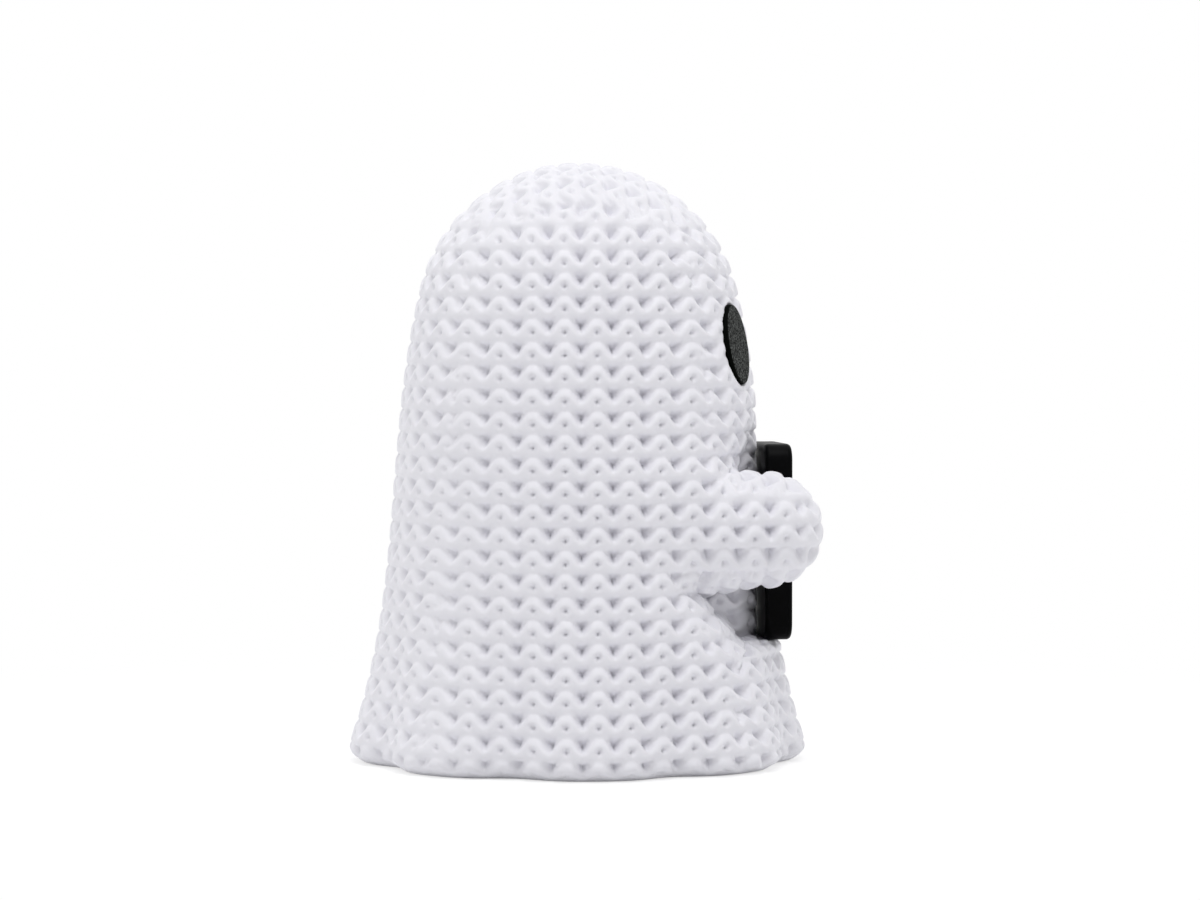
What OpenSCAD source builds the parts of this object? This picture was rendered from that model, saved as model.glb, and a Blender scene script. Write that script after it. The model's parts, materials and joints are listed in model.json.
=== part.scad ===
// Knit-look ghost ornament: a draped body with two arms, two oval eyes and a lift-out plaque.
// Millimetres. Z is up, the ghost faces -Y, and the origin is the middle of the base on the table.

/* [Draped body] */
// Height from the table to the crown
ghost_h = 99.6; // [90:0.2:115]
// Radius of the round head
head_r = 26.7; // [24:0.1:29]
// Angle above the head's widest line where the head runs into the drape
shoulder_angle = 14; // [8:1:24]
// Radius of the hem, measured over its folds
hem_r = 38; // [34:0.5:44]
// Lean of the drape outwards where it meets the hem, in degrees from upright
hem_flare = 20; // [10:1:28]
// Rounding of the hem's lower edge
hem_edge_r = 3; // [1.5:0.25:4]
// Number of folds round the hem
fold_count = 8; // [6:2:12]
// Depth of the creases between the folds, at the table
fold_depth = 3; // [1:0.25:5]
// Height at which the creases have run out
fold_rise = 40; // [25:1:50]

/* [Knit] */
// Height of one row of stitches
row_h = 3.72; // [3.2:0.02:4.6]
// Height of the lowest row's crests above the hem's rounded edge
first_row = 4.1; // [3.6:0.1:6]
// Number of stitches round the body
stitch_count = 40; // [32:4:48]
// Drop from the crest of a stitch to the V beside it
stitch_drop = 1.7; // [0.8:0.1:2]
// Height of the rows over the plain surface
row_relief = 0.5; // [0.2:0.05:0.8]
// Depth of the pits in the Vs, under the plain surface
pit_depth = 0.6; // [0.2:0.05:1]

/* [Arms] */
// Height of the arms' centre line
arm_z = 39.3; // [35:0.1:44]
// Distance from the body's axis to the front of the hands
arm_reach = 39.45; // [38:0.05:44]
// Radius of the round hands
hand_r = 9.05; // [8:0.05:10]
// Distance of each hand's centre from the middle
hand_x = 15.5; // [14.5:0.1:17]
// Radius of the arms at the shoulder
arm_root_r = 12.8; // [11:0.1:14]
// Distance of each arm's root from the middle
arm_root_x = 17.5; // [15:0.1:19]
// Distance of each arm's root in front of the body's axis
arm_root_y = 8; // [4:0.5:12]

/* [Eyes] */
// Width of an eye
eye_w = 9.5; // [7:0.1:11]
// Height of an eye
eye_h = 13.4; // [11:0.1:16]
// Thickness of an eye, from its face to its back
eye_t = 3.6; // [2.5:0.1:5]
// How far an eye's face stands out of the body, at the eye's middle
eye_proud = 0.8; // [0.4:0.1:1.2]
// Bevel round an eye's face
eye_bevel = 0.4; // [0.2:0.05:0.8]
// Height of the eyes' middle
eye_z = 69.8; // [62:0.2:76]
// Angle of each eye from straight ahead
eye_angle = 26; // [20:0.5:34]
// Gap round an eye in its pocket
eye_gap = 0.1; // [0.05:0.05:0.25]

/* [Plaque] */
// Width of the plaque
plaque_w = 22.6; // [19:0.2:25]
// Height of the plaque
plaque_h = 32.7; // [28:0.1:38]
// Thickness of the plaque
plaque_t = 4.6; // [3.6:0.1:6]
// Radius of the plaque's corners
plaque_corner_r = 3; // [1.5:0.1:5]
// Rounding of the plaque's front and back edges
plaque_edge_r = 0.8; // [0.4:0.1:1.4]
// Height of the ledge that the plaque stands on
ledge_z = 20.6; // [16:0.1:26]
// How far the hollow under the arms runs back from the ledge, and up
belly_reach = 12; // [6:0.5:14]
// Distance from the body's axis to the plaque's back
plaque_back = 30.4; // [29.5:0.1:31.5]
// Sliding gap between the plaque and the belly and hands
plaque_gap = 0.3; // [0.2:0.05:0.5]

/* [Hidden] */

body_white = "whitesmoke";
plastic_black = "#1c1d1e";
hem_rings = 3;
ridge_share = 0.4;
rows_end_angle = 45;
crown_rows_end_angle = 70;
cap_angle = 80;
arm_rows_share = 0.9;
arm_plain_angle = 76;
dome_rings = 4;
edge_fn = 24;
eye_points = 48;
crease_sharpness = 4;
slope_step = 0.01;

// The head is a part of a sphere, and the drape starts where the shoulder angle leaves it
head_z = ghost_h - head_r;
shoulder_z = head_z + head_r * sin(shoulder_angle);
shoulder_r = head_r * cos(shoulder_angle);
ring_points = 2 * stitch_count;

// Drape radius at a height, over the folds: a cubic with set slopes at the hem and at the shoulder
function drape_radius(z) =
    let (run = shoulder_z - hem_edge_r, s = (z - hem_edge_r) / run)
    hem_r * (1 + 2 * s) * pow(1 - s, 2) - run * tan(hem_flare) * s * pow(1 - s, 2)
    + shoulder_r * s * s * (3 - 2 * s) + run * tan(shoulder_angle) * s * s * (1 - s);

// Body radius at any height above the rounded hem edge
function body_radius(z) = z < shoulder_z
    ? drape_radius(z)
    : sqrt(max(0, head_r * head_r - pow(z - head_z, 2)));

// Lean of the surface from upright at a height, positive where it narrows upwards
function body_lean(z) =
    atan((body_radius(z - slope_step) - body_radius(z + slope_step)) / (2 * slope_step));

// Depth of the crease at a height, and its share of that depth at an angle from straight ahead
function crease_depth(z) = fold_depth * pow(max(0, 1 - z / fold_rise), 2);
function crease_share(angle) = pow(sin(fold_count * angle / 2), crease_sharpness);

// One plain ring of the body, with the creases drawn in
function ring(r, z) = [for (i = [0 : ring_points - 1])
    let (angle = 360 * i / ring_points, rr = r - crease_depth(z) * crease_share(angle))
    [rr * sin(angle), -rr * cos(angle), z]];

// One ring of stitches on the drape: even points are at the crests, odd ones drop to the Vs between them.
// Each point stands off the plain surface, along its normal, by the first or the second height
function stitch_ring(z, crest_off, v_off) = [for (i = [0 : ring_points - 1])
    let (angle = 360 * i / ring_points, odd = i % 2, h = z - odd * stitch_drop, lean = body_lean(h),
        off = odd == 1 ? v_off : crest_off,
        rr = body_radius(h) + off * cos(lean) - crease_depth(h) * crease_share(angle))
    [rr * sin(angle), -rr * cos(angle), h + off * sin(lean)]];

// The same on the top of the head, at an angle above its widest line, and fading towards the crown
function crown_ring(a, crest_off, v_off) = [for (i = [0 : ring_points - 1])
    let (angle = 360 * i / ring_points, odd = i % 2, fade = cos(a) / cos(top_row_angle),
        b = a - odd * fade * stitch_drop / head_r * 180 / PI, r = head_r + fade * (odd == 1 ? v_off : crest_off))
    [r * cos(b) * sin(angle), -r * cos(b) * cos(angle), head_z + r * sin(b)]];

// Rows at even heights up the drape and the side of the head, then at even steps over the top of the head
row_z = hem_edge_r + first_row;
row_count = 1 + floor((head_z + head_r * sin(rows_end_angle) - row_z) / row_h);
top_row_angle = asin((row_z + (row_count - 1) * row_h - head_z) / head_r);
row_angle = row_h / head_r * 180 / PI;
crown_row_count = floor((crown_rows_end_angle - top_row_angle) / row_angle);

// The rings from the table to just under the crown: hem edge, a ridge and a groove for each row, cap
body_rings = concat(
    [for (i = [0 : hem_rings]) let (a = 90 * i / hem_rings)
        ring(hem_r - hem_edge_r * (1 - sin(a)), hem_edge_r * (1 - cos(a)))],
    [for (k = [0 : row_count - 1]) let (z = row_z + k * row_h)
        each [stitch_ring(z - ridge_share * row_h, row_relief, row_relief), stitch_ring(z, 0, -pit_depth)]],
    [for (k = [1 : crown_row_count]) let (a = top_row_angle + k * row_angle)
        each [crown_ring(a - ridge_share * row_angle, row_relief, row_relief), crown_ring(a, 0, -pit_depth)]],
    [ring(head_r * cos(cap_angle), head_z + head_r * sin(cap_angle))]
);

// Where an eye's face lies: out along the surface normal from the body's surface
eye_surface_r = body_radius(eye_z);
eye_lean = body_lean(eye_z);

// An arm is swept by a sphere that shrinks on its way from the root to the hand
hand_y = arm_reach - hand_r;
arm_len = norm([hand_x - arm_root_x, hand_y - arm_root_y]);
arm_yaw = atan2(hand_x - arm_root_x, hand_y - arm_root_y);
arm_tilt = asin((arm_root_r - hand_r) / arm_len);
arm_mid_r = (arm_root_r + hand_r) / 2;

// The body's rows that run on along an arm, as heights over its centre line where it is of middling thickness
arm_rows = [for (k = [0 : row_count - 1]) let (h = row_z + k * row_h - arm_z)
    if (h - ridge_share * row_h - stitch_drop > -arm_rows_share * arm_mid_r && h < arm_rows_share * arm_mid_r) h];

// Where the rings of an arm lie: the sphere's place, and the tilt of the surface forwards. Two rings make a stitch
arm_steps = round(arm_len * stitch_count / (PI * body_radius(arm_z)));
arm_stations = concat(
    [for (i = [1 : dome_rings]) [0, -90 + (90 + arm_tilt) * i / (dome_rings + 1)]],
    [for (i = [0 : arm_steps]) [arm_len * i / arm_steps, arm_tilt]],
    [for (i = [1 : dome_rings]) [arm_len, arm_tilt + (90 - arm_tilt) * i / (dome_rings + 1)]]
);

// One ring of an arm that points to -Y, up one side and down the other. Odd rings drop to the Vs
function arm_ring(station, odd) =
    let (rows = [for (h = arm_rows) each [
            [asin((h - ridge_share * row_h - odd * stitch_drop) / arm_mid_r), row_relief],
            [asin((h - odd * stitch_drop) / arm_mid_r), -odd * pit_depth]]],
        up = concat([[-arm_plain_angle, 0]], rows, [[arm_plain_angle, 0]]),
        turn = concat([[-90, 0]], up, [[90, 0]], [for (i = [len(up) - 1 : -1 : 0]) [180 - up[i][0], up[i][1]]]),
        plain_r = arm_root_r + (hand_r - arm_root_r) * station[0] / arm_len)
    [for (t = turn) let (r = plain_r + t[1] * cos(station[1]))
        [r * cos(station[1]) * cos(t[0]), -station[0] - r * sin(station[1]), r * cos(station[1]) * sin(t[0])]];

// The outer limits of the plaque's way down between the hands
plaque_front = plaque_back + plaque_t;
path_w = plaque_w + 2 * plaque_gap;
path_top = ghost_h + plaque_h;

// Rings with equal numbers of points, joined by triangles and closed by one point at each end
module ring_solid(rings, first_point, last_point) {
    count = len(rings[0]);
    last = len(rings) - 1;
    first_index = count * len(rings);
    function at(k, i) = k * count + i % count;
    polyhedron(
        points = concat([for (r = rings) each r], [first_point, last_point]),
        faces = concat(
            [for (k = [0 : last - 1], i = [0 : count - 1])
                each [[at(k, i), at(k + 1, i), at(k + 1, i + 1)], [at(k, i), at(k + 1, i + 1), at(k, i + 1)]]],
            [for (i = [0 : count - 1]) [first_index, at(0, i), at(0, i + 1)]],
            [for (i = [0 : count - 1]) [first_index + 1, at(last, i + 1), at(last, i)]]
        ),
        convexity = 6
    );
}

// The draped body, from the flat base to the crown
module draped_body() {
    ring_solid(body_rings, [0, 0, 0], [0, 0, ghost_h]);
}

// One arm: a round root in the body's side, drawn out to a round hand. side is -1 for its right, 1 for its left
module arm(side) {
    translate([side * arm_root_x, -arm_root_y, arm_z])
        rotate([0, 0, side * arm_yaw])
            ring_solid([for (k = [0 : len(arm_stations) - 1]) arm_ring(arm_stations[k], k % 2)],
                [0, arm_root_r, 0], [0, -arm_len - hand_r, 0]);
}

// The way that the plaque slides: from its ledge straight up, past the belly and between the hands
module plaque_path() {
    translate([-path_w / 2, -plaque_front - plaque_gap, ledge_z])
        cube([path_w, plaque_t + 2 * plaque_gap, path_top - ledge_z]);
}

// What is cut off the drape behind the plaque and under the arms, down to an upright round belly
module belly_cut() {
    belly_r = plaque_back - plaque_gap;
    hollow_top = arm_z + hand_r + belly_reach;
    difference() {
        rotate([90, 0, 90])
            translate([0, 0, -hem_r])
                linear_extrude(height = 2 * hem_r)
                    polygon([[-hem_r, ledge_z], [-belly_r, ledge_z], [-belly_r + belly_reach, ledge_z + belly_reach],
                        [-belly_r, hollow_top], [-hem_r, hollow_top]]);
        cylinder(r = belly_r, h = path_top, $fn = ring_points);
    }
}

// Puts its children on the body at an eye's middle, with Z along the surface normal
module at_eye(side) {
    rotate([0, 0, side * eye_angle])
        translate([0, -eye_surface_r, eye_z])
            rotate([90 - eye_lean, 0, 0])
                children();
}

// The oval outline of an eye, grown by a gap
module eye_outline(gap = 0) {
    polygon([for (i = [0 : eye_points - 1]) let (a = 360 * i / eye_points)
        [(eye_w / 2 + gap) * cos(a), (eye_h / 2 + gap) * sin(a)]]);
}

// The pocket in the body that an eye is pressed into, down to the eye's back
module eye_pocket(side) {
    at_eye(side)
        translate([0, 0, eye_proud - eye_t])
            linear_extrude(height = 2 * eye_t) eye_outline(eye_gap);
}

// An oval eye plug with a bevelled face
module eye(side) {
    face_share = 1 - 2 * eye_bevel / eye_w;
    color(plastic_black)
        at_eye(side)
            translate([0, 0, eye_proud - eye_t]) {
                linear_extrude(height = eye_t - eye_bevel) eye_outline();
                translate([0, 0, eye_t - eye_bevel])
                    linear_extrude(height = eye_bevel, scale = face_share) eye_outline();
            }
}

module ghost_body() {
    color(body_white)
        difference() {
            union() {
                difference() {
                    draped_body();
                    belly_cut();
                }
                for (side = [-1, 1]) arm(side);
            }
            plaque_path();
            for (side = [-1, 1]) eye_pocket(side);
        }
}

module right_eye() {
    eye(-1);
}

module left_eye() {
    eye(1);
}

// Half section of one plaque corner, from its axis out, with the back and front edges rounded
module plaque_corner() {
    bend = [for (i = [0 : edge_fn / 4]) 90 * i / (edge_fn / 4)];
    flat_r = plaque_corner_r - plaque_edge_r;
    rotate_extrude($fn = edge_fn)
        polygon(concat(
            [[0, 0]],
            [for (a = bend) [flat_r + plaque_edge_r * sin(a), plaque_edge_r * (1 - cos(a))]],
            [for (a = bend) [flat_r + plaque_edge_r * cos(a), plaque_t - plaque_edge_r * (1 - sin(a))]],
            [[0, plaque_t]]
        ));
}

// The plaque: four such corners drawn together, standing upright on the ledge with its face to -Y
module plaque() {
    color(plastic_black)
        translate([0, -plaque_back, ledge_z + plaque_h / 2])
            rotate([90, 0, 0])
                hull()
                    for (sx = [-1, 1], sy = [-1, 1])
                        translate([sx * (plaque_w / 2 - plaque_corner_r), sy * (plaque_h / 2 - plaque_corner_r), 0])
                            plaque_corner();
}

ghost_body();
right_eye();
left_eye();
plaque();
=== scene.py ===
import json
import math
from itertools import product
import bmesh
import bpy
import numpy as np
from mathutils import Matrix, Vector

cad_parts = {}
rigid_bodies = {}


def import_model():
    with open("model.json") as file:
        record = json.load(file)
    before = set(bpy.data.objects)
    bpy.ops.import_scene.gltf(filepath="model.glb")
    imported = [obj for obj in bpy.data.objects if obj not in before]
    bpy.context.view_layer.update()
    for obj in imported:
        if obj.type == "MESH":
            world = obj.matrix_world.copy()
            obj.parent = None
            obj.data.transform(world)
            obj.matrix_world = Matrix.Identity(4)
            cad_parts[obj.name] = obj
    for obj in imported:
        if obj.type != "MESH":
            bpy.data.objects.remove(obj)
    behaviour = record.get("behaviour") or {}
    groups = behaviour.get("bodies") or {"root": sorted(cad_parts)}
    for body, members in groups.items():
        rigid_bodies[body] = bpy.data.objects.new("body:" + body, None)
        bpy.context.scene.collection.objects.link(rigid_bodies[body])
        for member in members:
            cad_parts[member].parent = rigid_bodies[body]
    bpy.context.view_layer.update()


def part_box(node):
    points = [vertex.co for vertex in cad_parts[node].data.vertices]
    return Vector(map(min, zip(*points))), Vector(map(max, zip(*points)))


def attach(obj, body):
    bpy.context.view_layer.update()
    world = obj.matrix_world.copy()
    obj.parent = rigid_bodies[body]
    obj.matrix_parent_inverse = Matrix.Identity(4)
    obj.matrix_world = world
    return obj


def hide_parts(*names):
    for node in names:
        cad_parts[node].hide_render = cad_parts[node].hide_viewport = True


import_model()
scene = bpy.context.scene
mm = 0.001  # the pieces are worked out in millimetres, and the scene is in metres
bodyHigh = np.array(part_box("ghost_body")[1]) / mm
plaqueLow, plaqueHigh = (np.array(corner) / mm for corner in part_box("plaque"))
tiny = 1e-6  # keeps divisions away from zero
print("frame loaded")


# One shader socket, with arithmetic that adds Math nodes
class Wire:
    def __init__(self, tree, socket=None):
        self.tree = tree
        self.socket = socket

    def node(self, kind, settings=None, sockets=None, out=0):
        made = self.tree.nodes.new(kind)
        for name, value in (settings or {}).items():
            setattr(made, name, value)
        for name, value in (sockets or {}).items():
            self.feed(made, name, value)
        return Wire(self.tree, made.outputs[out] if made.outputs else None)

    def feed(self, made, name, value):
        found = [s for s in made.inputs if s.identifier == name or s.name == name]
        socket = made.inputs[name] if isinstance(name, int) else found[0]
        if isinstance(value, Wire):
            self.tree.links.new(value.socket, socket)
        elif isinstance(value, tuple) and len(value) == 3 and socket.type == "RGBA":
            socket.default_value = (*value, 1)
        else:
            socket.default_value = value

    def math(self, operation, first, second):
        return self.node("ShaderNodeMath", {"operation": operation}, {0: first, 1: second})

    def __add__(self, other):
        return self.math("ADD", self, other)

    def __sub__(self, other):
        return self.math("SUBTRACT", self, other)

    def __rsub__(self, other):
        return self.math("SUBTRACT", other, self)

    def __mul__(self, other):
        return self.math("MULTIPLY", self, other)

    __radd__ = __add__
    __rmul__ = __mul__

    def grey(self, value):
        return self.node("ShaderNodeCombineColor", None, {"Red": value, "Green": value, "Blue": value})

    def mixColours(self, factor, first, second):
        return self.node("ShaderNodeMix", {"data_type": "RGBA"},
                         {"Factor_Float": factor, "A_Color": first, "B_Color": second}, "Result")


def newMaterial(name):
    made = bpy.data.materials.new(name)
    made.use_nodes = True
    made.node_tree.nodes.clear()
    return made, Wire(made.node_tree)


# Camera: low and from the ghost's right side, a little behind it
view = {
    "azimuth": 265,  # degrees round the ghost, from its front
    "distance": 676,  # mm from the ghost's axis
    "height": 70,
    "aimHeight": 52.1,
    "aimAside": 3.78,
    "lens": 120.66,
    "sensor": 36,
    "nearest": 0.01,  # metres that the camera sees from and to
    "farthest": 20,
}


def makeCamera():
    turn = math.radians(view["azimuth"])
    back = Vector((math.sin(turn), -math.cos(turn), 0))
    right = Vector((math.cos(turn), math.sin(turn), 0))
    aim = right * view["aimAside"] + Vector((0, 0, view["aimHeight"]))
    place = aim + back * view["distance"] + Vector((0, 0, view["height"] - view["aimHeight"]))
    data = bpy.data.cameras.new("camera")
    data.lens = view["lens"]
    data.sensor_width = view["sensor"]
    data.clip_start = view["nearest"]
    data.clip_end = view["farthest"]
    camera = bpy.data.objects.new("camera", data)
    camera.location = place * mm
    camera.rotation_euler = (aim - place).to_track_quat("-Z", "Y").to_euler()
    scene.collection.objects.link(camera)
    scene.camera = camera


makeCamera()
print("camera set")


# Ghost: a round head on a draped trunk with folds at the hem, and two stubby arms
ghost = {
    "height": bodyHigh[2],
    "hemRadius": 38,
    "handFront": 39,
    "headRadius": 26.7,
    "shoulderAngle": 14,  # degrees above the head's widest line, where the drape starts
    "hemFlare": 20,
    "hemEdge": 3,
    "folds": 8,
    "foldDepth": 3,
    "foldRise": 40,
    "creasePower": 4,
    "armHeight": 39.3,
    "handRadius": 9.05,
    "handOut": 15.5,
    "rootRadius": 12.8,
    "rootOut": 17.5,
    "rootAhead": 8,
    "armBlend": 1.6,  # softness of the corner between trunk and arm, under the arm
    "armTopBlend": 7,  # and over its root
    "armTopEnds": 24,  # how far ahead of the axis that softer corner runs, and over what length it ends
    "armTopFades": 8,
}

headZ = ghost["height"] - ghost["headRadius"]
shoulder = math.radians(ghost["shoulderAngle"])
shoulderZ = headZ + ghost["headRadius"] * math.sin(shoulder)
shoulderRadius = ghost["headRadius"] * math.cos(shoulder)
handAhead = ghost["handFront"] - ghost["handRadius"]


def drapeRadius(z):
    run = shoulderZ - ghost["hemEdge"]
    s = (z - ghost["hemEdge"]) / run
    flare = run * math.tan(math.radians(ghost["hemFlare"]))
    return (ghost["hemRadius"] * (1 + 2 * s) * (1 - s) ** 2 - flare * s * (1 - s) ** 2
            + shoulderRadius * s * s * (3 - 2 * s) + run * math.tan(shoulder) * s * s * (1 - s))


def bodyRadius(z):
    head = np.sqrt(np.maximum(0, ghost["headRadius"] ** 2 - (z - headZ) ** 2))
    return np.where(z < shoulderZ, drapeRadius(z), head)


# Half outline of the trunk over the folds, from the middle of the base to the crown
def trunkOutline(hemPoints=16, drapePoints=140, headPoints=70):
    edge = ghost["hemEdge"]
    turn = np.radians(np.linspace(0, 90, hemPoints))
    hem = np.column_stack((ghost["hemRadius"] - edge * (1 - np.sin(turn)), edge * (1 - np.cos(turn))))
    z = np.linspace(edge, shoulderZ, drapePoints)[1:]
    drape = np.column_stack((drapeRadius(z), z))
    turn = np.linspace(shoulder, math.pi / 2, headPoints)[1:]
    head = np.column_stack((np.cos(turn), np.sin(turn))) * ghost["headRadius"] + (0, headZ)
    return np.vstack(([[0, 0]], hem, drape, head))


# Signed distance to that outline, on a grid of radius and height
class OutlineTable:
    def __init__(self, step=0.5, margin=8):
        self.step = step
        self.low = np.array((0, -margin))
        high = np.array((ghost["hemRadius"] + margin, ghost["height"] + margin))
        counts = ((high - self.low) / step).astype(int) + 2
        radius, z = np.meshgrid(*(self.low[i] + step * np.arange(counts[i]) for i in (0, 1)), indexing="ij")
        points = trunkOutline()
        nearest = np.full(radius.shape, np.inf)
        for start, end in zip(points[:-1], points[1:]):
            along = end - start
            share = ((radius - start[0]) * along[0] + (z - start[1]) * along[1]) / (along @ along)
            share = np.clip(share, 0, 1)
            gap = np.hypot(radius - start[0] - share * along[0], z - start[1] - share * along[1])
            nearest = np.minimum(nearest, gap)
        reach = np.interp(z, points[1:, 1], points[1:, 0], right=-1)
        self.table = np.where((z > 0) & (radius < reach), -nearest, nearest)

    def __call__(self, radius, z):
        last = np.array(self.table.shape) - 1.001  # just inside the last cell
        a = np.clip((radius - self.low[0]) / self.step, 0, last[0])
        b = np.clip((z - self.low[1]) / self.step, 0, last[1])
        i, j = a.astype(int), b.astype(int)
        a, b = a - i, b - j
        lower = self.table[i, j] * (1 - a) + self.table[i + 1, j] * a
        upper = self.table[i, j + 1] * (1 - a) + self.table[i + 1, j + 1] * a
        return lower * (1 - b) + upper * b


trunkDistance = OutlineTable()


def smoothMin(first, second, reach):
    near = np.maximum(reach - np.abs(first - second), 0) / reach
    return np.minimum(first, second) - near * near * reach / 4


def smoothMax(first, second, reach):
    return -smoothMin(-first, -second, reach)


# Distance to an arm: a big sphere at its root drawn out to a smaller one at the hand
def armDistance(p):
    root = np.array((ghost["rootOut"], -ghost["rootAhead"], ghost["armHeight"]))
    hand = np.array((ghost["handOut"], -handAhead, ghost["armHeight"]))
    axis = hand - root
    length = np.linalg.norm(axis)
    axis = axis / length
    taper = (ghost["rootRadius"] - ghost["handRadius"]) / length
    rise = math.sqrt(1 - taper * taper)
    offset = np.column_stack((np.abs(p[:, 0]), p[:, 1], p[:, 2])) - root
    along = offset @ axis
    out = np.sqrt(np.maximum(0, (offset * offset).sum(1) - along * along))
    onCone = np.clip(along + out * taper / rise, 0, length)
    return np.hypot(along - onCone, out) - (ghost["rootRadius"] - taper * onCone)


# Room for the plaque: straight up from its ledge, between the hands and in front of a round belly
slot = {
    "gap": 0.3,
    "edge": 0.4,  # softness of the cut edges
    "bellyReach": 12,  # how far the hollow under the arms runs back from the ledge, and up
    "bellyEdge": 7,  # softness of the hollow's edge
    "bellyRound": 11,  # radius of the belly in the hollow
    "ledgeDepth": 4,  # flat ledge behind the plaque
}

bellyRadius = -plaqueHigh[1] - slot["gap"]
hollowTop = ghost["armHeight"] + ghost["handRadius"] + slot["bellyReach"]


# Distance to what is cut off the drape behind the plaque and under the arms
def hollowDistance(p):
    x, y, z = p.T
    ahead = y + bellyRadius
    above = z - plaqueLow[2]
    reach = slot["bellyReach"]
    rise = hollowTop - plaqueLow[2] - reach
    lower = (ahead - slot["ledgeDepth"] - above) / math.sqrt(2)
    upper = ((ahead - reach) * rise + (above - reach) * reach) / math.hypot(rise, reach)
    belly = slot["bellyRound"] - np.hypot(x, ahead - slot["bellyRound"])
    return np.maximum(np.maximum(lower, upper), np.maximum(-above, belly))


# Distance to the ghost without its knit
def plainField(p):
    x, y, z = p.T
    crease = np.sin(ghost["folds"] / 2 * np.arctan2(x, -y)) ** ghost["creasePower"]
    crease = crease * ghost["foldDepth"] * np.maximum(0, 1 - z / ghost["foldRise"]) ** 2
    trunk = trunkDistance(np.hypot(x, y) + crease, z)
    soft = np.clip((y + bellyRadius) / slot["bellyEdge"], 0, 1)  # the ledge under the plaque keeps its edge
    trunk = smoothMax(trunk, -hollowDistance(p), slot["edge"] + (slot["bellyEdge"] - slot["edge"]) * soft)
    over = np.clip((z - ghost["armHeight"]) / ghost["handRadius"], 0, 1)
    over = over * np.clip((y + ghost["armTopEnds"]) / ghost["armTopFades"], 0, 1)
    blend = ghost["armBlend"] + (ghost["armTopBlend"] - ghost["armBlend"]) * over
    return smoothMin(trunk, armDistance(p), blend)


def slope(field, p, probe=0.03):
    here = field(p)
    return here, np.column_stack([(field(p + probe * unit) - here) / probe for unit in np.eye(3)])


def plainNormal(p):
    way = slope(plainField, p)[1]
    return way / np.maximum(np.linalg.norm(way, axis=1), tiny)[:, None]


# Knit: rows of scalloped loops, laid on from the sides, the front and back, and the top
knit = {
    "column": 5.165,
    "row": 3.72,
    "notch": 2.18,  # from a loop's crest down to the bottom of the V beside it
    "notchPower": 3,
    "rowEnd": 4.7,  # how far below its crests a row runs out
    "skew": 1.75,  # moves a row's ridge up towards its upper edge
    "rowRound": 0.7,  # 0.5 makes a row's section an ellipse, more makes it a softer swell
    "rowRelief": 1.15,
    "pitTop": -0.05,  # the pits are triangles that point down, measured from the crests
    "pitTip": 2.25,
    "pitHalf": 1.12,
    "pitRamp": 0.38,  # a pit's sides fall over this width, and its top over the next
    "pitFade": 0.65,
    "pitDepth": 1.4,
    "dotDrop": 2.26,  # from a crest down to the small hole under it
    "dotRadius": 0.4,
    "dotDepth": 1.3,
    "softness": 0.09,  # blur of the whole stitch
    "sink": 0.3,  # the rows' grooves lie this far under the plain surface
    "turn": 3,  # degrees that the knit is turned about the ghost's axis
    "crestZ": 74.05,  # where one row's crests lie, and one of its loops on the sides, the front and the top
    "sideCrest": 2.85,
    "frontCrest": 0,
    "topCrest": 0,
    "seamPower": 12,  # more makes the seams between the sides, the front and the top narrower
    "rim": 1.1,  # the knit flattens out over this distance from the plaque
    "eyeRim": 1.5,  # and over this one from an eye
    "eyeLip": 0.6,  # to a smooth edge of this height
    "easedFrom": 5,  # it is lower at the back, from here to there behind the axis
    "easedTo": 30,
    "backShare": 0.55,
    "handFrom": 30,  # and at the ends of the hands, from here to there ahead of the axis
    "handTo": 39,
    "handShare": 0.5,
    "crownShare": 0.85,
    "fadeFrom": 0.4,  # the knit starts above the flat base
    "fadeOver": 2,
    "cellsPerColumn": 16,  # the mesh has this many faces in each stitch, across and up
    "cellsPerRow": 12,
    "margin": (3, 3, 2),  # room in the grid past the sides, the hands and the crown
    "under": 1,  # and under the base
    "meet": 0.3,  # vertices closer than this share of a cell are joined
}


# Heights over one stitch: rounded rows, with a pit in each V and a small hole under each crest
def stitchTile(across=126, up=90):
    column, row = knit["column"], knit["row"]
    u, v = np.meshgrid(np.arange(across) / across * column, np.arange(up) / up * row, indexing="ij")
    wave = np.abs(np.sin(math.pi * u / column))
    fromCrest = np.abs((u + column / 2) % column - column / 2)
    fromV = column / 2 - fromCrest
    lean = math.hypot(knit["pitTip"] - knit["pitTop"], knit["pitHalf"])
    height = np.zeros(u.shape)
    hollow = np.zeros(u.shape)
    for k in range(-1, 3):
        drop = k * row - v  # below this row's crests
        top = knit["notch"] * wave ** knit["notchPower"]
        share = np.clip((knit["rowEnd"] - drop) / (knit["rowEnd"] - top), 0, 1) ** knit["skew"]
        height = np.maximum(height, np.maximum(0, 1 - (2 * share - 1) ** 2) ** knit["rowRound"])
        slant = ((knit["pitTip"] - drop) * knit["pitHalf"]
                 - fromV * (knit["pitTip"] - knit["pitTop"])) / lean
        pit = np.clip(np.minimum((drop - knit["pitTop"]) / knit["pitFade"], slant / knit["pitRamp"]), 0, 1)
        hole = np.exp(-(fromCrest ** 2 + (drop - knit["dotDrop"]) ** 2) / knit["dotRadius"] ** 2)
        hollow = np.maximum(hollow, np.maximum(knit["pitDepth"] * pit, knit["dotDepth"] * hole))
    height = knit["rowRelief"] * height - hollow
    acrossWaves = np.fft.fftfreq(across, column / across)
    upWaves = np.fft.fftfreq(up, row / up)
    waves = np.hypot(acrossWaves[:, None], upWaves[None, :])
    blur = np.exp(-2 * (math.pi * knit["softness"] * waves) ** 2)
    return np.real(np.fft.ifft2(np.fft.fft2(height) * blur)) - knit["sink"]


stitch = stitchTile()


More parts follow.
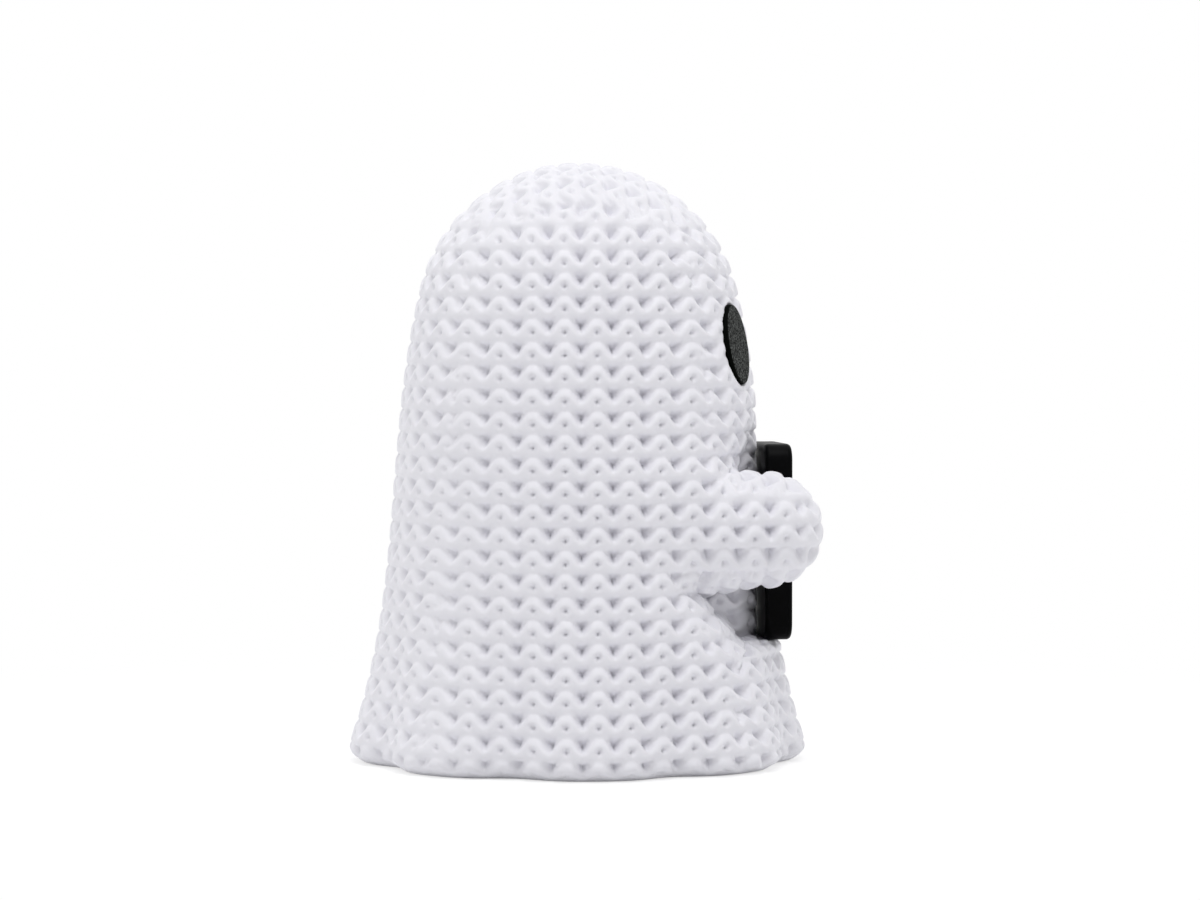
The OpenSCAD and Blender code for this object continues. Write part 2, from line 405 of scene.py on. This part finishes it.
def stitchHeight(u, v):
    a = (u / knit["column"]) % 1 * stitch.shape[0]
    b = (v / knit["row"]) % 1 * stitch.shape[1]
    i, j = a.astype(int), b.astype(int)
    a, b = a - i, b - j
    i, j = i % stitch.shape[0], j % stitch.shape[1]
    nextI, nextJ = (i + 1) % stitch.shape[0], (j + 1) % stitch.shape[1]
    lower = stitch[i, j] * (1 - a) + stitch[nextI, j] * a
    upper = stitch[i, nextJ] * (1 - a) + stitch[nextI, nextJ] * a
    return lower * (1 - b) + upper * b


def turned(p, degrees):  # about the ghost's axis
    c, s = math.cos(math.radians(degrees)), math.sin(math.radians(degrees))
    x, y, z = p.T
    return np.column_stack((x * c - y * s, y * c + x * s, z))


def toKnit(p):  # turns points into the knit's own axes
    return turned(p, knit["turn"])


def fromKnit(p):
    return turned(p, -knit["turn"])


def knitLift(p, normal):
    x, y, z = toKnit(p).T
    weight = np.abs(toKnit(normal)) ** knit["seamPower"]
    weight = weight / weight.sum(1)[:, None]
    side = stitchHeight(y - knit["sideCrest"], z - knit["crestZ"])
    front = stitchHeight(x - knit["frontCrest"], z - knit["crestZ"])
    crown = stitchHeight(x - knit["frontCrest"], y - knit["topCrest"])
    height = side * weight[:, 0] + front * weight[:, 1] + crown * weight[:, 2] * knit["crownShare"]
    places = (-knit["handTo"], -knit["handFrom"], knit["easedFrom"], knit["easedTo"])
    height = height * np.interp(p[:, 1], places, (knit["handShare"], 1, 1, knit["backShare"]))
    fade = np.clip((z - knit["fadeFrom"]) / knit["fadeOver"], 0, 1)
    return fade * fade * (3 - 2 * fade) * height


# Eyes: oval plugs pressed into the head, each on its own axes
eyes = {
    "width": 9.5,
    "height": 13.4,
    "thickness": 3.6,
    "proud": 0.8,
    "bevel": 0.4,
    "bevelSteps": 6,
    "backBevel": 0.3,
    "faceInsets": (1.0, 2.0, 3.0),  # extra rings on the face
    "middleZ": 69.8,
    "angle": 26,  # degrees to the side of the ghost's front
    "gap": 0.1,
    "points": 96,
}


def eyeAxes(side):
    step = 0.01
    lean = math.atan((bodyRadius(eyes["middleZ"] - step) - bodyRadius(eyes["middleZ"] + step)) / (2 * step))
    turn = Matrix.Rotation(side * math.radians(eyes["angle"]), 4, "Z")
    place = Matrix.Translation((0, -float(bodyRadius(eyes["middleZ"])), eyes["middleZ"]))
    return turn @ place @ Matrix.Rotation(math.pi / 2 - lean, 4, "X")


# Distance outside an eye's oval, seen along its axis, and height along that axis
def eyeDistance(p, side):
    local = np.array(eyeAxes(side).inverted())
    q = p @ local[:3, :3].T + local[:3, 3]
    radii = np.array((eyes["width"], eyes["height"])) / 2 + eyes["gap"]
    near = np.linalg.norm(q[:, :2] / radii, axis=1)
    return near * (near - 1) / np.maximum(np.linalg.norm(q[:, :2] / radii ** 2, axis=1), tiny), q[:, 2]


def pocketDistance(p, side):
    oval, up = eyeDistance(p, side)
    return np.maximum(oval, eyes["proud"] - eyes["thickness"] - up)


def slotDistance(p):
    low = plaqueLow - slot["gap"]
    high = plaqueHigh + slot["gap"]
    across = np.maximum(low[0] - p[:, 0], p[:, 0] - high[0])
    through = np.maximum(low[1] - p[:, 1], p[:, 1] - high[1])
    return np.maximum(np.maximum(across, through), plaqueLow[2] - p[:, 2])


# Distance to the ghost without its knit, with the slot and the eye pockets cut out
def cutField(p):
    f = smoothMax(plainField(p), -slotDistance(p), slot["edge"])
    for side in (-1, 1):
        f = smoothMax(f, -pocketDistance(p, side), slot["edge"])
    return f


def fillGrid(low, step, count):
    values = np.empty(count, np.float32)
    x, y = np.meshgrid(*(low[i] + step[i] * np.arange(count[i]) for i in (0, 1)), indexing="ij")
    for k in range(count[2]):
        p = fromKnit(np.column_stack((x.ravel(), y.ravel(), np.full(x.size, low[2] + step[2] * k))))
        values[:, :, k] = cutField(p).reshape(x.shape)
    return values


# One vertex in each cell that the surface crosses, and a quad across each crossed grid line
def netSurface(values):
    inside = values < 0
    size = np.array(values.shape) - 1
    corners = np.zeros(size, np.int8)
    for i, j, k in product((0, 1), repeat=3):
        corners += inside[i:i + size[0], j:j + size[1], k:k + size[2]]
    mixed = (corners > 0) & (corners < 8)
    cells = np.argwhere(mixed)
    number = np.full(size, -1, np.int32)
    number[mixed] = np.arange(len(cells))
    units = np.eye(3, dtype=int)
    total = np.zeros((len(cells), 3))
    hits = np.zeros(len(cells))
    quads = []
    for axis in range(3):
        unit, second, third = units[axis], units[(axis + 1) % 3], units[(axis + 2) % 3]
        for b, c in product((0, 1), repeat=2):
            start = b * second + c * third
            f, g = (values[tuple((cells + corner).T)] for corner in (start, start + unit))
            crossed = (f < 0) != (g < 0)
            share = (f / np.where(crossed, f - g, 1))[:, None]
            total += np.where(crossed[:, None], start + share * unit, 0)
            hits += crossed
        first = inside.take(np.arange(size[axis]), axis)
        line = np.argwhere(first != inside.take(np.arange(1, size[axis] + 1), axis))
        moves = (0 * unit, second, second + third, third)
        quad = np.column_stack([number[tuple((line - move).T)] for move in moves])
        outward = first[tuple(line.T)]
        quads.append(np.where(outward[:, None], quad, quad[:, ::-1]))
    return cells, total / hits[:, None], np.vstack(quads)


# Slides vertices onto the surface
def settle(points, rounds=2, longest=0.25, flattest=0.05):
    for _ in range(rounds):
        f, way = slope(cutField, points)
        move = -(f / np.maximum((way * way).sum(1), flattest))[:, None] * way
        far = np.maximum(np.linalg.norm(move, axis=1) / longest, 1)
        points = points + move / far[:, None]
    return points


# Moves vertices to the middles of their cells, seen along the axis that the surface faces most,
# so that every stitch has its vertices in the same places
def evenOut(points, middles, rounds=3, longest=0.4, slantFrom=0.74, slantOver=0.06):
    for _ in range(rounds):
        f, way = slope(cutField, points)
        way = toKnit(way)
        steep = np.abs(way) / np.maximum(np.linalg.norm(way, axis=1), tiny)[:, None]
        axis = steep.argmax(1)
        rows = np.arange(len(points))
        hold = np.clip((steep.max(1) - slantFrom) / slantOver, 0, 1)[:, None]
        q = toKnit(points)
        target = q + hold * (middles - q)
        moved = target - q
        moved[rows, axis] = 0
        climb = (way * moved).sum(1) + f
        back = -climb / np.where(hold[:, 0] > 0, way[rows, axis], 1)
        moved[rows, axis] = np.clip(back, -longest, longest)
        moved[hold[:, 0] == 0] = 0
        points = fromKnit(q + moved)
    return points


# Raises the knit from the plain surface. It flattens out towards the eyes and the plaque
def raiseKnit(points):
    normal = plainNormal(points)
    lift = knitLift(points, normal) * np.clip(slotDistance(points) / knit["rim"], 0, 1)
    outer = np.clip(1 + plainField(points) / knit["eyeLip"], 0, 1)  # leaves the pockets' walls and floors
    for side in (-1, 1):
        oval, up = eyeDistance(points, side)
        near = np.where(up > -eyes["thickness"], 1 - np.clip(oval / knit["eyeRim"], 0, 1), 0)
        lift = lift * (1 - near) + knit["eyeLip"] * outer * near
    return points + lift[:, None] * normal


# Joins vertices that have met, closes up pinched edges, and makes the base's small flat faces one face
def cleanMesh(mesh, meet, level=0.004):
    work = bmesh.new()
    work.from_mesh(mesh)
    bmesh.ops.remove_doubles(work, verts=work.verts, dist=meet)
    bmesh.ops.collapse(work, edges=[edge for edge in work.edges if len(edge.link_faces) > 2])
    flat = [face for face in work.faces if all(abs(v.co.z) < level for v in face.verts)]
    bmesh.ops.delete(work, geom=flat, context="FACES")
    bmesh.ops.holes_fill(work, edges=[edge for edge in work.edges if edge.is_boundary], sides=0)
    bmesh.ops.recalc_face_normals(work, faces=work.faces)
    work.to_mesh(mesh)
    work.free()


def getPoints(mesh):
    flat = np.empty(len(mesh.vertices) * 3, np.float32)
    mesh.vertices.foreach_get("co", flat)
    return flat.reshape(-1, 3).astype(float)


def newPiece(name, mesh, material, body, node):
    mesh.name = name
    mesh.transform(Matrix.Scale(mm, 4))
    mesh.shade_smooth()
    mesh.materials.append(material)
    piece = bpy.data.objects.new(name, mesh)
    scene.collection.objects.link(piece)
    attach(piece, body)
    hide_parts(node)


def newMesh(points, faces):
    mesh = bpy.data.meshes.new("piece")
    mesh.from_pydata(points, [], faces)
    return mesh


# Closed mesh through rings of points, with a flat face at each end
def ringMesh(rings):
    count = len(rings[0])
    starts = [k * count for k in range(len(rings))]  # number of each ring's first point
    faces = [list(range(count))[::-1]]
    for low, high in zip(starts, starts[1:]):
        for i in range(count):
            j = (i + 1) % count
            faces.append([low + i, low + j, high + j, high + i])
    faces.append([starts[-1] + i for i in range(count)])
    return newMesh(np.vstack(rings), faces)


# Printed plastic: slight clouds of tone and gloss, and a fine grain
def printedSurface(wire, finish):
    place = wire.node("ShaderNodeTexCoord", out="Object")
    cloud = wire.node("ShaderNodeTexNoise", None, {
        "Vector": place, "Scale": finish["cloudScale"], "Detail": finish["cloudDetail"]})
    grain = wire.node("ShaderNodeTexNoise", None, {
        "Vector": place, "Scale": finish["grainScale"], "Detail": finish["grainDetail"]})
    bump = wire.node("ShaderNodeBump", None, {
        "Strength": finish["bump"], "Distance": finish["grainDepth"] * mm, "Height": grain})
    # Noise is 0.5 on average
    gloss = finish["cloudGloss"] * (cloud - 0.5) + finish["grainGloss"] * (grain - 0.5)
    shader = wire.node("ShaderNodeBsdfPrincipled", None, {
        "Base Color": wire.mixColours(cloud, finish["colour"], finish["cloudColour"]),
        "Roughness": finish["roughness"] + gloss,
        "Normal": bump,
        "Specular IOR Level": finish["specular"],
    })
    wire.node("ShaderNodeOutputMaterial", None, {"Surface": shader})


# The ghost's nearly white plastic
whitePrint = {
    "colour": (0.86, 0.855, 0.9),
    "cloudColour": (0.82, 0.815, 0.865),
    "cloudScale": 90,  # per metre
    "cloudDetail": 3,
    "grainScale": 2600,
    "grainDetail": 2,
    "grainDepth": 0.03,
    "bump": 0.35,
    "roughness": 0.52,
    "cloudGloss": 0.12,  # how much the clouds and the grain change the roughness
    "grainGloss": 0.08,
    "specular": 0.4,
}


def whitePrintMaterial():
    material, wire = newMaterial("white_print")
    printedSurface(wire, whitePrint)
    return material


def makeGhost():
    step = np.array((knit["column"] / knit["cellsPerColumn"],) * 2 + (knit["row"] / knit["cellsPerRow"],))
    anchor = np.array((knit["frontCrest"], knit["sideCrest"], knit["crestZ"] - knit["dotDrop"]))
    high = np.array((ghost["handFront"], ghost["handFront"], ghost["height"])) + knit["margin"]
    below = np.array((high[0], high[1], knit["under"]))
    low = anchor - step * (np.ceil((anchor + below) / step) + 0.5)
    count = np.ceil((high - low) / step).astype(int)
    cells, inCell, quads = netSurface(fillGrid(low, step, count))
    points = settle(fromKnit(low + step * (cells + inCell)))
    points = evenOut(points, low + step * (cells + 0.5))
    mesh = newMesh(points, quads)
    cleanMesh(mesh, step.min() * knit["meet"])
    mesh.vertices.foreach_set("co", raiseKnit(getPoints(mesh)).astype(np.float32).ravel())
    print("ghost body:", len(mesh.vertices), "vertices,", len(mesh.polygons), "faces")
    newPiece("ghost_skin", mesh, whitePrintMaterial(), "ghost", "ghost_body")
    base = max(mesh.polygons, key=lambda face: len(face.vertices))
    base.use_smooth = False


makeGhost()


# The eyes' grainy black plastic
eyeBlack = {
    "dark": (0.002, 0.0025, 0.002),
    "light": (0.1, 0.105, 0.102),
    "grainScale": 3300,  # per metre
    "grainDetail": 3,
    "grainLow": 0.42,  # the grain turns from dark to light between these
    "grainHigh": 0.62,
    "rimShadeFadesFrom": 0.84,  # the rim, which has no grain, is kept plain black as painted shade of the eye's shadowed edge, and the face, which looks along the eye's axis, is grainy
    "rimShadeFadesTo": 0.97,
    "grainDepth": 0.08,
    "bump": 0.6,
    "roughness": 0.6,
    "grainGloss": 0.2,
    "specular": 0.015,
}


def eyeMaterial():
    material, wire = newMaterial("eye_black")
    place = wire.node("ShaderNodeTexCoord", out="Object")
    grain = wire.node("ShaderNodeTexNoise", None, {
        "Vector": place, "Scale": eyeBlack["grainScale"], "Detail": eyeBlack["grainDetail"]})
    speck = wire.node("ShaderNodeMapRange", None, {
        "Value": grain, "From Min": eyeBlack["grainLow"], "From Max": eyeBlack["grainHigh"]})
    bump = wire.node("ShaderNodeBump", None, {
        "Strength": eyeBlack["bump"], "Distance": eyeBlack["grainDepth"] * mm, "Height": grain})
    # Axis and normal go without their signs, so that one material does for both eyes
    axis = tuple(abs(part) for part in eyeAxes(1).to_3x3() @ Vector((0, 0, 1)))
    normal = wire.node("ShaderNodeVectorMath", {"operation": "ABSOLUTE"},
                       {0: wire.node("ShaderNodeTexCoord", out="Normal")}, "Vector")
    facing = wire.node("ShaderNodeVectorMath", {"operation": "DOT_PRODUCT"}, {0: normal, 1: axis}, "Value")
    # Mask: 0 on the rim, whose plain black is painted shade, rising to 1 on the grainy face
    face = wire.node("ShaderNodeMapRange", None, {
        "Value": facing, "From Min": eyeBlack["rimShadeFadesFrom"], "From Max": eyeBlack["rimShadeFadesTo"]})
    shader = wire.node("ShaderNodeBsdfPrincipled", None, {
        "Base Color": wire.mixColours(speck * face, eyeBlack["dark"], eyeBlack["light"]),
        "Roughness": eyeBlack["roughness"] + eyeBlack["grainGloss"] * (grain - 0.5),
        "Normal": bump,
        "Specular IOR Level": eyeBlack["specular"],
    })
    wire.node("ShaderNodeOutputMaterial", None, {"Surface": shader})
    return material


def makeEye(side, name, material):
    radii = np.array((eyes["width"], eyes["height"])) / 2
    turn = np.arange(eyes["points"]) / eyes["points"] * 2 * math.pi
    oval = np.column_stack((np.cos(turn), np.sin(turn)))
    bevel, proud = eyes["bevel"], eyes["proud"]
    back = proud - eyes["thickness"]
    rings = [(eyes["backBevel"], back), (0, back + eyes["backBevel"])]  # inset and height of each ring
    for part in range(eyes["bevelSteps"] + 1):
        bend = math.pi / 2 * part / eyes["bevelSteps"]
        rings.append((bevel * (1 - math.cos(bend)), proud - bevel * (1 - math.sin(bend))))
    rings += [(inset, proud) for inset in eyes["faceInsets"]]
    axes = np.array(eyeAxes(side))
    placed = []
    for inset, z in rings:
        ring = np.column_stack((oval * (radii - inset), np.full(len(oval), z)))
        placed.append(ring @ axes[:3, :3].T + axes[:3, 3])
    newPiece(name + "_plug", ringMesh(placed), material, "ghost", name)


eyeSurface = eyeMaterial()
makeEye(-1, "right_eye", eyeSurface)
makeEye(1, "left_eye", eyeSurface)
print("eyes made")


# Plaque: an upright slab with round corners and rounded edges
plaque = {
    "cornerRadius": 3,
    "edgeRadius": 0.8,
    "cornerPoints": 14,
    "edgePoints": 8,
    "faceRim": 0.6,  # an extra ring on the front and back, inside the rounding
}


# Its satin black plastic
plaqueBlack = {
    "colour": (0.001, 0.001, 0.0012),
    "cloudColour": (0.002, 0.002, 0.0024),
    "cloudScale": 160,
    "cloudDetail": 4,
    "grainScale": 3200,
    "grainDetail": 2,
    "grainDepth": 0.03,
    "bump": 0.25,
    "roughness": 0.36,
    "cloudGloss": 0.12,
    "grainGloss": 0.06,
    "specular": 0.03,
}


def plaqueMaterial():
    material, wire = newMaterial("plaque_black")
    printedSurface(wire, plaqueBlack)
    return material


def makePlaque():
    size = plaqueHigh - plaqueLow
    middle = (plaqueHigh + plaqueLow) / 2
    radius, edge = plaque["cornerRadius"], plaque["edgeRadius"]
    corner = np.linspace(0, math.pi / 2, plaque["cornerPoints"])
    turn = np.concatenate([corner + k * math.pi / 2 for k in range(4)])
    signs = np.repeat([(1, 1), (-1, 1), (-1, -1), (1, -1)], plaque["cornerPoints"], axis=0)
    centres = signs * (size[[0, 2]] / 2 - radius)
    arcs = np.column_stack((np.cos(turn), np.sin(turn)))
    bend = np.linspace(0, math.pi / 2, plaque["edgePoints"])
    rounding = [(edge * (1 - math.sin(b)), edge * (1 - math.cos(b))) for b in bend]  # inset and depth
    back = [(edge + plaque["faceRim"], 0)] + rounding
    rings = back + [(inset, size[1] - depth) for inset, depth in back[::-1]]
    placed = []
    for inset, depth in rings:
        x, z = (centres + arcs * (radius - inset)).T
        y = np.full(len(x), plaqueHigh[1] - depth)
        placed.append(np.column_stack((middle[0] + x, y, middle[2] + z)))
    newPiece("plaque_slab", ringMesh(placed), plaqueMaterial(), "plaque", "plaque")


makePlaque()
print("plaque made")


# Stage: a white floor that keeps the ghost's shadow, in soft light from all round
studio = {
    "floorSize": 6,  # metres
    "floorShade": 0.92,  # what the floor throws back onto the ghost
    "floorSeen": 0.4,  # what the camera sees of the lit floor by the ghost, with a glow added to it
    "floorGlow": 0.66,
    "shadowFrom": 0.06,  # metres from the ghost's axis over which the floor turns plain white
    "shadowTo": 0.22,
    "glows": {  # broad light from these sides of the room
        "left": {"side": (0, 1, 0), "light": 0.7},
        "right": {"side": (0, -1, 0), "light": 0.67},
        "far": {"side": (1, 0, 0), "light": 0.95},
    },
    "glowFrom": -0.1,  # cosine of the angle from its side at which a glow starts, and at which it is full
    "glowTo": 0.9,
    "lamps": {
        "key": {"place": (-0.4, 0, 0.78), "size": 0.5, "watts": 3.4},
        "top": {"place": (0, 0, 0.9), "size": 0.5, "watts": 0.9},
    },
}


def seenDirectly(wire):  # 1 for camera, mirror and glass rays
    seen = wire.node("ShaderNodeLightPath", out="Is Camera Ray")
    for ray in ("Is Glossy Ray", "Is Transmission Ray"):
        seen = wire.math("MAXIMUM", seen, wire.node("ShaderNodeLightPath", out=ray))
    return seen


def makeFloor():
    material, wire = newMaterial("white_floor")
    shown = seenDirectly(wire)
    place = wire.node("ShaderNodeTexCoord", out="Object")
    away = wire.node("ShaderNodeVectorMath", {"operation": "LENGTH"}, {0: place}, "Value")
    plain = wire.node("ShaderNodeMapRange", {"interpolation_type": "SMOOTHSTEP"}, {
        "Value": away, "From Min": studio["shadowFrom"], "From Max": studio["shadowTo"]})
    seen = studio["floorSeen"] * (1 - plain)
    glow = studio["floorGlow"] + (1 - studio["floorGlow"]) * plain
    shader = wire.node("ShaderNodeBsdfPrincipled", None, {
        "Base Color": wire.mixColours(shown, (studio["floorShade"],) * 3, wire.grey(seen)),
        "Emission Color": wire.grey(glow * shown),
        "Emission Strength": 1,
        "Specular IOR Level": 0,
        "Roughness": 1,
    })
    wire.node("ShaderNodeOutputMaterial", None, {"Surface": shader})
    mesh = bpy.data.meshes.new("floor")
    half = studio["floorSize"] / 2
    corners = [(-half, -half, 0), (half, -half, 0), (half, half, 0), (-half, half, 0)]
    mesh.from_pydata(corners, [], [(0, 1, 2, 3)])
    mesh.materials.append(material)
    floor = bpy.data.objects.new("floor", mesh)
    scene.collection.objects.link(floor)


def makeWorld():
    world = bpy.data.worlds.new("white_room")
    world.use_nodes = True
    world.node_tree.nodes.clear()
    wire = Wire(world.node_tree)
    way = wire.node("ShaderNodeTexCoord", out="Generated")
    room = 0
    for glow in studio["glows"].values():
        facing = wire.node("ShaderNodeVectorMath", {"operation": "DOT_PRODUCT"},
                           {0: way, 1: glow["side"]}, "Value")
        share = wire.node("ShaderNodeMapRange", {"interpolation_type": "SMOOTHSTEP"}, {
            "Value": facing, "From Min": studio["glowFrom"], "From Max": studio["glowTo"]})
        room = room + glow["light"] * share
    shown = seenDirectly(wire)
    tone = wire.grey(room * (1 - shown) + shown)
    background = wire.node("ShaderNodeBackground", None, {"Color": tone})
    wire.node("ShaderNodeOutputWorld", None, {"Surface": background})
    scene.world = world


def makeLamps():
    aim = Vector((0, 0, ghost["height"] / 2 * mm))
    for name, lamp in studio["lamps"].items():
        data = bpy.data.lights.new(name, "AREA")
        data.shape = "SQUARE"
        data.size = lamp["size"]
        data.energy = lamp["watts"]
        made = bpy.data.objects.new(name, data)
        made.location = lamp["place"]
        made.rotation_euler = (aim - made.location).to_track_quat("-Z", "Y").to_euler()
        scene.collection.objects.link(made)


makeFloor()
makeWorld()
makeLamps()
scene.view_settings.view_transform = "Standard"
print("stage lit")
